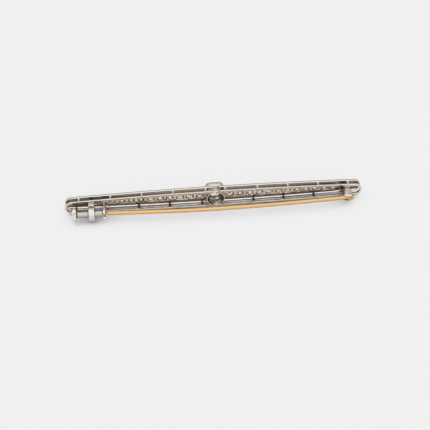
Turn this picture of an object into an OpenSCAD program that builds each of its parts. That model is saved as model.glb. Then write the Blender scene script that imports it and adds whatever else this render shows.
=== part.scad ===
// Diamond bar brooch, lying on its long side with its back to -Y.
// +X runs along the bar from the catch to the hinge, +Y points out of the stones' face, +Z is up.
// The origin is under the middle of the brooch, on the surface that it rests on.

/* [Bar] */
// Length of the bar over its rounded ends
bar_length = 70; // [60:0.5:80]
// Half the height of the bar at its middle
bar_half = 2.33; // [2.2:0.01:2.6]
// Radius of the long curved sides
side_radius = 870; // [700:10:1400]
// Depth from the middle of the front rail to the middle of the back rail
gallery_depth = 1.69; // [1.5:0.01:2.2]
// Thickness of the front rail
front_rail_wall = 0.5; // [0.4:0.01:0.55]
// Depth of the front rail
front_rail_depth = 0.4; // [0.3:0.01:0.5]
// Thickness of the back rail
back_rail_wall = 0.55; // [0.45:0.01:0.6]
// Depth of the back rail
back_rail_depth = 0.5; // [0.4:0.01:0.6]
// Width of a gallery post
post_width = 0.42; // [0.3:0.01:0.6]
// Distance from one gallery post to the next
post_pitch = 7.25; // [6.8:0.01:7.3]
// How far the lower posts stand towards the catch
lower_post_shift = 0.7; // [0:0.05:1]

/* [Stone rows] */
// Stones on each side of the centre setting
row_stones = 12; // [10:1:12]
// Diameter of the stone next to the centre setting
first_stone_d = 2.0; // [1.8:0.01:2.0]
// Diameter of the stone at the end of the row
last_stone_d = 1.75; // [1.5:0.01:1.75]
// Metal between two stones
stone_gap = 0.37; // [0.3:0.01:0.37]
// Thickness of the plate that holds the stones
plate_depth = 0.7; // [0.5:0.01:0.8]
// Metal beside the stone next to the centre setting
first_margin = 0.5; // [0.4:0.01:0.55]
// Metal beside the stone at the end of the row
last_margin = 0.34; // [0.25:0.01:0.4]
// Thickness of the plate's two edges, which are cut back behind
edge_depth = 0.35; // [0.25:0.01:0.45]
// Thickness of the sheet that closes the front between the plate and the rail
sheet_depth = 0.18; // [0.15:0.01:0.24]

/* [Centre setting] */
// Outer radius of the collet
collet_r = 2.3; // [2.25:0.01:2.32]
// Wall of the collet's rings
collet_wall = 0.3; // [0.25:0.01:0.35]
// How far the front ring stands before the middle of the front rail
collet_rise = 1.66; // [1.3:0.01:1.8]
// Depth of the back ring
back_ring_depth = 1.3; // [1.0:0.01:1.4]
// Posts between the two rings
collet_posts = 6; // [4:1:8]
// Radius of the centre stone
centre_stone_r = 1.96; // [1.8:0.01:1.96]

/* [Catch] */
// Distance of the catch's axis behind the front rail
catch_depth = 4.35; // [4.2:0.01:4.5]
// Middle of the collar along the bar
collar_x = -28.9; // [-29.2:0.05:-28.6]
// Length of the collar
collar_length = 1.4; // [1.2:0.05:1.7]
// Outer radius of the collar
collar_r = 1.74; // [1.5:0.01:1.8]
// Outer radius of the sliding tube
slide_r = 0.8; // [0.75:0.01:0.85]
// Wall of the sliding tube
slide_wall = 0.18; // [0.15:0.01:0.2]
// Clearance around the sliding tube
slide_gap = 0.05; // [0.03:0.01:0.08]
// Middle of the hook along the bar
hook_x = -26.03; // [-26.1:0.01:-25.9]
// Thickness of the hook
hook_width = 0.47; // [0.4:0.01:0.5]
// Radius of the pull knob
knob_r = 1.4; // [1.2:0.01:1.5]

/* [Pin] */
// Radius of the pin's stem
stem_r = 0.5; // [0.45:0.01:0.52]
// Distance of the bowed stem's furthest point behind the front rail
bow_depth = 5.33; // [5.2:0.01:5.5]
// Place of that point along the bar
bow_x = 0; // [-2:0.1:3]
// Length of the ground point
point_length = 1.9; // [1.5:0.05:2.5]

/* [Hinge] */
// Place of the hinge along the bar
hinge_x = 31.4; // [31.2:0.05:31.6]
// Distance of the hinge's axis behind the front rail
hinge_depth = 4.35; // [4.25:0.01:4.6]
// Radius of the rivet
rivet_r = 0.3; // [0.25:0.01:0.34]
// Radius of a cheek's rounded end
cheek_r = 0.68; // [0.6:0.01:0.75]
// Width of the pin's flat tongue
tongue_width = 1.0; // [0.9:0.01:1.04]

/* [Hidden] */

// Smoothness of round shapes, and of the very large arcs
$fn = 64;
long_arc_fn = 3600;
// Overlap of soldered pieces, and of the bar's round ends with its long arcs
solder = 0.1;
arc_overlap = 0.004;

back_rail_front = -gallery_depth + back_rail_depth / 2;
back_plane = -gallery_depth - back_rail_depth / 2;

// Gallery posts, named from the centre out
posts_each_side = 5;
inner_post_x = 2.3;
second_post_x = 9.95;
post_height = 0.3;
rib_depth = 0.175;
rib_inner_z = 1.1;
// Place of the single lower post at the catch end
end_post_x = -33.5;
end_post_z = -1.48;
// The brace by the hinge leans from the last lower post to a foot on the back rail
brace_foot = -1.2;
brace_width = 0.32;

// Stone rows
row_start = collet_r + 0.3;
plate_front = 0.25;
sheet_front = 0.12;
girdle_y = 0.15;
crown_share = 0.15;
table_share = 0.55;
pavilion_share = 0.43;

// Centre setting
front_ring_back = 0.03;
front_ring_depth = collet_rise - front_ring_back;
collet_post_width = 0.4;
collet_post_depth = 0.2;
collet_post_r = collet_r - 0.2;
back_ring_r = collet_r - 0.1;
rail_break = 0.8;
centre_girdle_y = collet_rise - 0.4;
centre_girdle = 0.08;
crown_height = 0.55;
centre_table_r = 1.08;
pavilion_depth = 1.72;

// Catch
collar_foot_half = 1.6;
hook_r = 1.15;
hook_slot = 1.1;
hook_foot_half = 0.45;
toe_length = 1.2;
toe_depth = 0.35;
toe_half = 0.35;
mouth_gap = 0.18;
slide_mouth_x = hook_x - hook_width / 2 - mouth_gap;
slide_end_x = -32.2;
bore_depth = 4.6;
knob_width = 1.05;
knob_edge = 0.35;
neck_r = 0.55;
neck_length = 0.12;

// Pin
point_reach = 0.08;
point_x = hook_x - hook_width / 2 - point_reach;
bend_x = -13.5;
hinge_bends = 4;
catch_bends = 2;
point_r = 0.14;
join_r = 1.01 * stem_r;
tail_length = 0.6;
tongue_r = 0.62;
eye_clearance = 0.03;

// Hinge
cheek_gap = 0.05;
cheek_wall = 0.35;
cheek_inner = tongue_width / 2 + cheek_gap;
cheek_outer = cheek_inner + cheek_wall;
rivet_fit = 0.02;
rivet_head_r = 0.45;
rivet_head = 0.12;

point_slope = (bow_depth - catch_depth) / ((bow_x + bend_x) / 2 - point_x);
stem_x = [
    for (i = [0:hinge_bends - 1]) hinge_x - (hinge_x - bow_x) * i / hinge_bends,
    for (i = [0:catch_bends]) bow_x - (bow_x - bend_x) * i / catch_bends
];
stem_line = [for (x = stem_x) [x, -stem_depth(x)]];
bend = stem_line[len(stem_line) - 1];
point = [point_x, -catch_depth];

// The brooch fills this span of depth around the origin
front_reach = centre_girdle_y + crown_height;
back_reach = bow_depth + stem_r;

// Half the height of the bar at a place along it
function half_at(x) = bar_half - side_radius + sqrt(pow(side_radius, 2) - x * x);

// Depth of the stem's middle: two parabolas that meet at the bow's furthest point
function stem_depth(x) = x > bow_x
    ? bow_depth - (bow_depth - hinge_depth) * pow((x - bow_x) / (hinge_x - bow_x), 2)
    : bow_depth - point_slope * pow(x - bow_x, 2) / (2 * (bow_x - bend_x));

function post_x(i) = i == 0 ? inner_post_x : second_post_x + post_pitch * (i - 1);

function stone_d(i) = first_stone_d - (first_stone_d - last_stone_d) * i / (row_stones - 1);

function stone_x(i) = i == 0
    ? row_start + first_stone_d / 2
    : stone_x(i - 1) + (stone_d(i - 1) + stone_d(i)) / 2 + stone_gap;

// Stands the brooch on its lower rails, centred over the origin
module lying() {
    translate([0, (back_reach - front_reach) / 2, bar_half])
        children();
}

// A flat shape in the plane of the bar, extruded back from front_y
module slab(front_y, depth) {
    translate([0, front_y, 0])
        rotate([90, 0, 0])
            linear_extrude(depth)
                children();
}

// A block given by its middle along X and Z and its span of depth
module block(x, z, width, height, front_y, depth) {
    translate([x - width / 2, front_y - depth, z - height / 2])
        cube([width, depth, height]);
}

// Outline of the bar: two long arcs between rounded ends
module bar_outline(inset) {
    half = bar_half - inset;
    reach = bar_length / 2 - inset;
    radius = side_radius - inset;
    end_r = (2 * radius * half - half * half - reach * reach) / (2 * (radius - reach));
    end_x = reach - end_r;
    meet_x = end_x + end_r * end_x / (radius - end_r);
    intersection() {
        translate([0, half - radius])
            circle(radius, $fn = long_arc_fn);
        translate([0, radius - half])
            circle(radius, $fn = long_arc_fn);
        square([2 * meet_x, 4 * half], center = true);
    }
    for (side = [-1, 1])
        translate([side * end_x, 0])
            circle(end_r + arc_overlap);
}

module rail(front_y, depth, wall) {
    slab(front_y, depth)
        difference() {
            bar_outline(0);
            bar_outline(wall);
            square([2 * rail_break, 3 * bar_half], center = true);
        }
}

// Posts between the two rails, with ribs on the back of the sheet at their feet
module gallery_posts() {
    for (i = [0:posts_each_side - 1], side = [-1, 1], level = [-1, 1]) {
        x = side * post_x(i) - (level < 0 ? lower_post_shift : 0);
        rail_z = level * (half_at(x) - back_rail_wall / 2);
        block(x, rail_z, post_width, post_height, solder - front_rail_depth / 2,
              gallery_depth - (front_rail_depth + back_rail_depth) / 2 + 2 * solder);
        rib_outer_z = half_at(x) - solder;
        if (i > 0 && i < posts_each_side - 1)
            block(x, level * (rib_outer_z + rib_inner_z) / 2, post_width,
                  rib_outer_z - rib_inner_z, 0, rib_depth);
    }
    block(end_post_x, end_post_z, post_width, post_height, solder - front_rail_depth / 2,
          gallery_depth - (front_rail_depth + back_rail_depth) / 2 + 2 * solder);
}

// A raking bar in the lower gallery by the hinge
module hinge_brace() {
    x = post_x(posts_each_side - 1) - lower_post_shift;
    z = half_at(x) - back_rail_wall / 2;
    run = gallery_depth - back_rail_depth / 2;
    translate([x, 0, -z])
        rotate([0, 0, atan(brace_foot / run)])
            block(0, 0, brace_width, post_height, 0, norm([brace_foot, run]) + solder);
}

// A thin sheet across the whole front, let into the front rail and open behind the centre stone
module front_sheet() {
    slab(sheet_front, sheet_depth)
        difference() {
            bar_outline(front_rail_wall / 2);
            circle(collet_r - collet_wall / 2);
            square([2 * (rail_break + solder), 3 * bar_half], center = true);
        }
}

// Crown and pavilion of a round stone whose girdle lies at girdle_y
module row_stone(i) {
    d = stone_d(i);
    translate([stone_x(i), girdle_y, 0]) {
        rotate([-90, 0, 0])
            cylinder(h = crown_share * d + plate_front - girdle_y, r1 = d / 2, r2 = table_share * d / 2);
        rotate([90, 0, 0])
            cylinder(h = pavilion_share * d, r1 = d / 2, r2 = 0);
    }
}

// A layer of the plate along one row, as wide as its stones and a margin beside them
module plate_layer(depth, margin_a, margin_b) {
    end_x = stone_x(row_stones - 1);
    half_a = first_stone_d / 2 + margin_a;
    half_b = last_stone_d / 2 + margin_b;
    slab(plate_front, depth) {
        difference() {
            polygon([[0, -half_a], [end_x, -half_b], [end_x, half_b], [0, half_a]]);
            circle(collet_r - collet_wall / 2);
        }
        translate([end_x, 0])
            circle(half_b);
    }
}

// One row: the stepped plate with its stones as a single paved solid
module stone_row() {
    plate_layer(edge_depth, first_margin, last_margin);
    plate_layer(plate_depth, 0, 0);
    for (i = [0:row_stones - 1])
        row_stone(i);
}

module collet() {
    difference() {
        slab(collet_rise, front_ring_depth)
            circle(collet_r);
        slab(collet_rise + solder, front_ring_depth + 2 * solder)
            circle(collet_r - collet_wall);
    }
    difference() {
        slab(back_plane + back_ring_depth, back_ring_depth)
            circle(back_ring_r);
        slab(back_plane + back_ring_depth + solder, back_ring_depth + 2 * solder)
            circle(back_ring_r - collet_wall);
    }
    for (k = [0:collet_posts - 1])
        rotate([0, 90 + 360 * k / collet_posts, 0])
            block(collet_post_r, 0, collet_post_depth, collet_post_width, front_ring_back + solder,
                  front_ring_back - back_plane - back_ring_depth + 2 * solder);
}

// A bar across the back rails that carries the catch or the hinge
module cross_bar(x, width) {
    block(x, 0, width, 2 * (half_at(x) - back_rail_wall + solder), back_rail_front, back_rail_depth);
}

module collar() {
    cross_bar(collar_x, collar_length);
    difference() {
        union() {
            block(collar_x, 0, collar_length, 2 * collar_foot_half, back_plane + solder,
                  catch_depth + back_plane + solder);
            translate([collar_x - collar_length / 2, -catch_depth, 0])
                rotate([0, 90, 0])
                    cylinder(h = collar_length, r = collar_r);
        }
        translate([collar_x - collar_length, -catch_depth, 0])
            rotate([0, 90, 0])
                cylinder(h = 2 * collar_length, r = slide_r + slide_gap);
    }
}

// A ring open to the back, which the pin's point swings into
module hook() {
    cross_bar(hook_x, hook_width);
    block(hook_x + (hook_width + toe_length) / 2 - solder, 0, toe_length, 2 * toe_half,
          back_plane + solder, toe_depth + solder);
    difference() {
        union() {
            block(hook_x, 0, hook_width, 2 * hook_foot_half, back_plane + solder,
                  catch_depth + back_plane + solder);
            translate([hook_x - hook_width / 2, -catch_depth, 0])
                rotate([0, 90, 0])
                    cylinder(h = hook_width, r = hook_r);
        }
        translate([hook_x - hook_width, -catch_depth, 0])
            rotate([0, 90, 0])
                cylinder(h = 2 * hook_width, r = slide_r + slide_gap);
        block(hook_x, 0, 2 * hook_width, hook_slot, -catch_depth, 2 * hook_r);
    }
}

module hinge_cheeks() {
    cross_bar(hinge_x, 2 * cheek_r);
    for (side = [-1, 1])
        difference() {
            union() {
                block(hinge_x, side * (cheek_inner + cheek_wall / 2), 2 * cheek_r, cheek_wall,
                      back_plane + solder, hinge_depth + back_plane + solder);
                translate([hinge_x, -hinge_depth, side * (cheek_inner + cheek_wall / 2)])
                    cylinder(h = cheek_wall, r = cheek_r, center = true);
            }
            translate([hinge_x, -hinge_depth, side * (cheek_inner + cheek_wall / 2)])
                cylinder(h = 2 * cheek_wall, r = rivet_r + rivet_fit, center = true);
        }
}

module frame() {
    color("silver")
        lying() {
            rail(front_rail_depth / 2, front_rail_depth, front_rail_wall);
            rail(back_rail_front, back_rail_depth, back_rail_wall);
            gallery_posts();
            hinge_brace();
            front_sheet();
            stone_row();
            mirror([1, 0, 0])
                stone_row();
            collet();
            collar();
            hook();
            hinge_cheeks();
        }
}

module centre_diamond() {
    color("aliceblue")
        lying()
            translate([0, centre_girdle_y, 0])
                rotate([-90, 0, 0])
                    rotate_extrude()
                        polygon([
                            [0, -pavilion_depth],
                            [centre_stone_r, -centre_girdle],
                            [centre_stone_r, 0],
                            [centre_table_r, crown_height],
                            [0, crown_height]
                        ]);
}

// Puts a shape that runs up +Z at one point of the pin's middle plane, towards another
module aimed(from, to) {
    run = to - from;
    translate([from[0], from[1], 0])
        rotate([0, 90, atan2(run[1], run[0])])
            children();
}

// The stem bows out from the hinge, then runs straight to its ground point in the hook
module pin() {
    straight_length = norm(point - bend);
    color("goldenrod")
        lying()
            difference() {
                union() {
                    for (i = [1:len(stem_line) - 1]) {
                        aimed(stem_line[i - 1], stem_line[i])
                            cylinder(h = norm(stem_line[i] - stem_line[i - 1]), r = stem_r);
                        aimed(stem_line[i], point)
                            rotate([0, 0, 45])
                                sphere(join_r);
                    }
                    aimed(bend, point) {
                        cylinder(h = straight_length - point_length, r = stem_r);
                        translate([0, 0, straight_length - point_length])
                            cylinder(h = point_length - point_r, r1 = stem_r, r2 = point_r);
                        translate([0, 0, straight_length - point_r])
                            sphere(point_r);
                    }
                    translate([hinge_x, -hinge_depth, 0]) {
                        cylinder(h = tongue_width, r = tongue_r, center = true);
                        translate([tail_length, 0, 0])
                            cylinder(h = tongue_width, r = tongue_width / 2, center = true);
                        translate([tail_length / 2, 0, 0])
                            cube([tail_length, tongue_width, tongue_width], center = true);
                    }
                }
                translate([hinge_x, -hinge_depth, 0])
                    cylinder(h = 2 * tongue_width, r = rivet_r + eye_clearance, center = true);
            }
}

module hinge_rivet() {
    color("gainsboro")
        lying()
            translate([hinge_x, -hinge_depth, 0]) {
                cylinder(h = 2 * (cheek_outer + rivet_fit + solder), r = rivet_r, center = true);
                for (side = [-1, 1])
                    translate([0, 0, side * (cheek_outer + rivet_fit + rivet_head / 2)])
                        cylinder(h = rivet_head, r = rivet_head_r, center = true);
            }
}

// A tube with a rounded pull knob, which slides over the pin's point to lock it
module catch_slide() {
    knob_x = slide_end_x - neck_length - knob_width;
    color("lightgray")
        lying()
            translate([0, -catch_depth, 0])
                rotate([0, 90, 0]) {
                    translate([0, 0, slide_end_x])
                        difference() {
                            cylinder(h = slide_mouth_x - slide_end_x, r = slide_r);
                            translate([0, 0, slide_mouth_x - slide_end_x - bore_depth])
                                cylinder(h = bore_depth + solder, r = slide_r - slide_wall);
                        }
                    translate([0, 0, slide_end_x - neck_length - solder])
                        cylinder(h = neck_length + 2 * solder, r = neck_r);
                    translate([0, 0, knob_x]) {
                        cylinder(h = knob_edge, r1 = knob_r - knob_edge, r2 = knob_r);
                        translate([0, 0, knob_edge])
                            cylinder(h = knob_width - 2 * knob_edge, r = knob_r);
                        translate([0, 0, knob_width - knob_edge])
                            cylinder(h = knob_edge, r1 = knob_r, r2 = knob_r - knob_edge);
                    }
                }
}

frame();
centre_diamond();
pin();
hinge_rivet();
catch_slide();
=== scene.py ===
import math
import random

import bmesh
import bpy
from mathutils import Matrix, Vector


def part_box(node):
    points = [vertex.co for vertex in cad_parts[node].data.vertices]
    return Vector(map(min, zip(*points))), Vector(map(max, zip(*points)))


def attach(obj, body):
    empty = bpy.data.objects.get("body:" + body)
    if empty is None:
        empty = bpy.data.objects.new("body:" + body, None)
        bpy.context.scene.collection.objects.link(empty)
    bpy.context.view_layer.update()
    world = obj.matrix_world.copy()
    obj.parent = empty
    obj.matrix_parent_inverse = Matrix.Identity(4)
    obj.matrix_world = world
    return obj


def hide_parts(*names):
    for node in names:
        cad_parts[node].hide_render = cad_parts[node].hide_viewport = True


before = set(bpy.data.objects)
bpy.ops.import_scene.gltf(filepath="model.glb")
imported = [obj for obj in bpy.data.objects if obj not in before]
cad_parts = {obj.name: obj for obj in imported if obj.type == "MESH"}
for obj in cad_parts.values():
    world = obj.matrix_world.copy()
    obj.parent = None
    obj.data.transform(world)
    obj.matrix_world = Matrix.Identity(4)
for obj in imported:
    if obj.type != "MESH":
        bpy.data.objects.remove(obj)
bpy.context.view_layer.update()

# The brooch is modelled in millimetres round its own middle: +X runs from the catch to the
# hinge, +Y out of the stones' face with zero at the middle of the front rail, and +Z up.
MM = 0.001

# Bar
BAR_LENGTH = 70.0
BAR_HALF = 2.33
SIDE_RADIUS = 870.0
SIDE_STEPS = 60
END_STEPS = 20
GALLERY_DEPTH = 1.69
FRONT_RAIL_WALL = 0.5
FRONT_RAIL_DEPTH = 0.4
FRONT_RAIL_LIP = 0.24
FRONT_RAIL_BEVEL = 0.28
FRONT_RAIL_FRONT = FRONT_RAIL_DEPTH / 2
FRONT_RAIL_BACK = -FRONT_RAIL_FRONT - FRONT_RAIL_LIP
BACK_RAIL_WALL = 0.55
BACK_RAIL_DEPTH = 0.5
BACK_RAIL_EASE = 0.13
BACK_PLANE = -GALLERY_DEPTH - BACK_RAIL_DEPTH / 2
BACK_RAIL_FRONT = BACK_PLANE + BACK_RAIL_DEPTH
RAIL_BREAK = 0.9
CORNER_STEPS = 4

# Gallery posts and struts. A flare is a list of (radius, distance from the post's end).
POST_X = [2.3] + [9.95 + 7.25 * i for i in range(4)]
LOWER_POST_SHIFT = 0.7
POST_WIDTH = 0.42
POST_HEIGHT = 0.3
POST_FLARE = [(0.36, 0.0), (0.3, 0.05), (0.27, 0.12), (0.25, 0.22)]
RIB_INNER_Z = 1.1
RIB_DEPTH = 0.175
RIB_EASE = 0.05
END_POST_X = -33.5
END_POST_Z = -1.48
BRACE_FOOT = -1.2
BRACE_WIDTH = 0.32
STRUT_EASE = 0.07
SOLDER = 0.1
POST_FRONT = SOLDER - FRONT_RAIL_DEPTH / 2
POST_LENGTH = POST_FRONT - BACK_RAIL_FRONT + SOLDER

# Rows of small stones. The most that a stone tilts is in radians.
ROW_STONES = 12
FIRST_STONE_D = 2.0
LAST_STONE_D = 1.75
COLLET_TO_STONE = 0.3
STONE_GAP = 0.37
FIRST_MARGIN = 0.5
LAST_MARGIN = 0.34
PLATE_FRONT = 0.25
SHEET_FRONT = 0.12
SHEET_BACK = -0.06
PLATE_BACK = -0.45
LAST_REACH = 1.4
CELL_SIDES = 16
OPENING_SQUARENESS = 0.7
STONE_GIRDLE_Y = 0.15
STONE_SINK = 0.02
STONE_TILT = 0.15
GRAIN_R = 0.2
GRAIN_RISE = 0.02
GRAIN_GAP = 0.1
GRAIN_SPREAD = 0.46
END_GRAIN_REACH = 0.8
BEAD_R = 0.115
BEAD_PITCH = 0.27
BEAD_INSET = 0.12
END_BEAD_STEPS = 14

# Centre setting. The cushion's power is 2 for a round collet and grows with its squareness.
COLLET_R = 2.3
COLLET_RISE = 1.66
RING_BACK = 0.03
CLAWS = 6
NOTCH_TURN = math.radians(38)
NOTCH_WIDTH = math.radians(5)
NOTCH_DEPTH = 0.5
NOTCH_FLOOR = 1.2
NOTCH_R = 2.04
RIM_FOOT = 1.25
CUSHION_POWER = 3.4
CUSHION_INNER_R = 1.98
CUSHION_BLEND = 0.12
CUSHION_LENGTHENING = 0.05
BACK_RING_R = 2.2
BACK_RING_FRONT = -0.64
BACK_RING_EASE = 0.09
RING_WALL = 0.3
COLLET_POSTS = 6
COLLET_POST_R = 2.1
COLLET_POST_WIDTH = 0.2
COLLET_POST_HEIGHT = 0.4
CENTRE_R = 1.96
CENTRE_GIRDLE_Y = 1.26
CENTRE_GIRDLE = 0.08
CENTRE_CROWN = 0.55
CENTRE_PAVILION = 1.72

# Catch. The turn that widens the hook's mouth is in radians.
CATCH_Y = -4.35
COLLAR_X = -28.9
COLLAR_LENGTH = 1.4
COLLAR_R = 1.74
COLLAR_GROOVE = 0.11
COLLAR_BAND = 0.93
COLLAR_STEPS = 20
COLLAR_FOOT_HALF = 1.6
COLLAR_FOOT_INSET = 0.06
COLLAR_FOOT_EASE = 0.1
BORE_R = 0.85
HOOK_X = -26.03
HOOK_WIDTH = 0.47
HOOK_R = 1.15
HOOK_SLOT = 1.1
HOOK_EASE = 0.07
HOOK_FOOT_OVERLAP = 0.05
HOOK_FOOT_HEIGHT = 0.9
MOUTH_TURN = 0.08
TOE_LENGTH = 1.2
TOE_DEPTH = 0.45
TOE_HEIGHT = 0.7
TOE_EASE = 0.1
TUBE_R = 0.8
TUBE_WALL = 0.18
TUBE_MOUTH = HOOK_X - HOOK_WIDTH / 2 - 0.18
TUBE_BORE = 4.6
TUBE_END = -32.2
NECK_R = 0.55
NECK_LENGTH = 0.12
KNOB_R = 1.4
KNOB_WIDTH = 1.05
KNOB_EDGE = 0.35
KNOB_STEPS = 12
KNOB_RIBS = 14
KNOB_CUT = 0.22
KNOB_CUT_REACH = 0.3

# Pin and hinge. The point's taper is a list of (distance from the tip, radius), and the cheeks'
# dome a list of (share of their thickness, share of their outline).
STEM_R = 0.5
STEM_ROOT = 0.5
BOW_Y = -5.33
HINGE_X = 31.4
HINGE_Y = -4.35
BEND_X = -13.5
POINT_X = HOOK_X - HOOK_WIDTH / 2 - 0.08
POINT_TAPER = [(1.9, STEM_R), (0.95, 0.34), (0.16, 0.19), (0.06, 0.14), (0.01, 0.07)]
TONGUE_R = 0.62
TONGUE_WIDTH = 1.0
TONGUE_EASE = 0.06
TAIL_LENGTH = 0.6
TAIL_EASE = 0.16
EYE_R = 0.33
EYE_WALL = 0.08
CHEEK_INNER = 0.55
CHEEK_OUTER = 0.9
CHEEK_R = 0.68
CHEEK_REACH = 0.76
CHEEK_SPREAD = 2.0
CHEEK_DOME = [(0.4, 1.0), (0.65, 0.95), (0.85, 0.85), (0.96, 0.72), (1.0, 0.6)]
RIVET_R = 0.3
RIVET_HEAD_R = 0.45
RIVET_FIT = 0.02
RIVET_TOP = 1.04
RIVET_DOME = [(0.0, 0.0), (0.2, 0.01), (0.34, 0.04), (0.42, 0.08)]

# Points closer than this are one point
SAME = 1e-4

# Where the brooch's own middle lies in the frame: the centre stone's table is its foremost plane
stone_low, stone_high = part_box("centre_diamond")
front_y = stone_high.y / MM - CENTRE_GIRDLE_Y - CENTRE_CROWN
middle_z = (stone_low.z + stone_high.z) / 2 / MM
BROOCH_TO_FRAME = Matrix.Scale(MM, 4) @ Matrix.Translation((0, front_y, middle_z))

ALONG_X = Matrix.Rotation(math.pi / 2, 4, "Y")
ALONG_Y = Matrix.Rotation(-math.pi / 2, 4, "X")
ALONG_MINUS_Y = ALONG_Y @ Matrix.Rotation(math.pi, 4, "X")


def half_at(x):
    """Half the height of the bar at a place along it."""
    return BAR_HALF - SIDE_RADIUS + math.sqrt(SIDE_RADIUS**2 - x * x)


def place(x, y, z):
    return Matrix.Translation((x, y, z))


# Materials


def linear(hex_colour):
    """An sRGB hex colour as linear RGBA."""
    parts = [int(hex_colour[i : i + 2], 16) / 255 for i in (1, 3, 5)]
    return [c / 12.92 if c <= 0.04045 else ((c + 0.055) / 1.055) ** 2.4 for c in parts] + [1.0]


def add(tree, kind, settings, links=None):
    """Adds a node. Settings and links are keyed by input name or number, or by property name,
    and the setting called stops lists a colour ramp's (position, hex colour) pairs."""
    made = tree.nodes.new(kind)
    for key, value in settings.items():
        if key == "stops":
            elements = made.color_ramp.elements
            elements.remove(elements[1])
            for i, (position, colour) in enumerate(value):
                element = elements.new(position) if i else elements[0]
                element.position = position
                element.color = linear(colour)
        elif isinstance(key, str) and key not in made.inputs:
            setattr(made, key, value)
        else:
            made.inputs[key].default_value = value
    for key, (source, output) in (links or {}).items():
        tree.links.new(source.outputs[output], made.inputs[key])
    return made


def new_material(name):
    """An empty material, its node tree, and the Object coordinates that its patterns read."""
    material = bpy.data.materials.new(name)
    material.use_nodes = True
    tree = material.node_tree
    tree.nodes.clear()
    return material, tree, add(tree, "ShaderNodeTexCoord", {})


def platinum(name, bright, patina_and_shade, reach_mm, shade_and_grime, cuts_mm=0.0, lines_mm=0.05):
    """Platinum, polished by hand: grey-white and nearly mirror-like where the wheel reached, and
    duller and browner in the corners that it did not reach, a colour that is partly wear dirt and
    partly painted shade, taken from how open each spot is. The darkening spreads reach_mm out of
    a corner and fades between the two openness values of shade_and_grime. Flats left by the saw
    and file are cuts_mm deep, and polishing lines run along the bar lines_mm apart."""
    material, tree, coords = new_material(name)
    # Handling wears the film unevenly, in blotches about 1 mm across
    blotches = add(
        tree,
        "ShaderNodeTexNoise",
        {"Scale": 0.9 / MM, "Detail": 4.0, "Roughness": 0.6},
        {"Vector": (coords, "Object")},
    )
    # The lines are coarser than real polishing lines, so that they show
    stretch = add(
        tree,
        "ShaderNodeMapping",
        {"Scale": (0.075 / lines_mm / MM, 1 / lines_mm / MM, 1 / lines_mm / MM)},
        {"Vector": (coords, "Object")},
    )
    lines = add(
        tree, "ShaderNodeTexNoise", {"Scale": 1.0, "Detail": 3.0}, {"Vector": (stretch, 0)}
    )
    # How open each spot is darkens the colour towards the dark stop: painted shade in corners and
    # between parts, over some real wear dirt
    corners = add(tree, "ShaderNodeAmbientOcclusion", {"samples": 8, "Distance": reach_mm * MM})
    dirt = add(
        tree,
        "ShaderNodeMath",
        {"operation": "MULTIPLY_ADD", 1: 0.5, 2: -0.25},
        {0: (blotches, "Fac")},
    )
    reach = add(tree, "ShaderNodeMath", {"operation": "ADD"}, {0: (corners, "AO"), 1: (dirt, 0)})
    lit_and_clean = add(
        tree,
        "ShaderNodeMapRange",
        {"From Min": shade_and_grime[0], "From Max": shade_and_grime[1], "To Min": 0.0, "To Max": 1.0},
        {"Value": (reach, 0)},
    )
    colour = add(
        tree,
        "ShaderNodeValToRGB",
        {"stops": [(0.0, patina_and_shade), (1.0, bright)]},
        {"Fac": (lit_and_clean, "Result")},
    )
    polish = add(
        tree,
        "ShaderNodeMapRange",
        {"From Min": 0.0, "From Max": 1.0, "To Min": 0.34, "To Max": 0.1},
        {"Value": (lit_and_clean, "Result")},
    )
    roughness = add(
        tree,
        "ShaderNodeMath",
        {"operation": "MULTIPLY_ADD", 1: 0.12},
        {0: (lines, "Fac"), 2: (polish, "Result")},
    )
    # Flats are about 1 mm across, as wide as the tools that leave them
    cuts = add(
        tree,
        "ShaderNodeTexVoronoi",
        {"Scale": 1.1 / MM, "Randomness": 1.0},
        {"Vector": (coords, "Object")},
    )
    flats = add(
        tree,
        "ShaderNodeBump",
        {"Strength": 1.0, "Distance": cuts_mm * MM},
        {"Height": (cuts, "Distance")},
    )
    relief = add(
        tree,
        "ShaderNodeBump",
        {"Strength": 0.25, "Distance": 0.2 * lines_mm * MM},
        {"Height": (lines, "Fac"), "Normal": (flats, 0)},
    )
    shader = add(
        tree,
        "ShaderNodeBsdfPrincipled",
        {"Metallic": 1.0},
        {"Base Color": (colour, 0), "Roughness": (roughness, 0), "Normal": (relief, 0)},
    )
    add(tree, "ShaderNodeOutputMaterial", {}, {"Surface": (shader, 0)})
    return material


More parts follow.
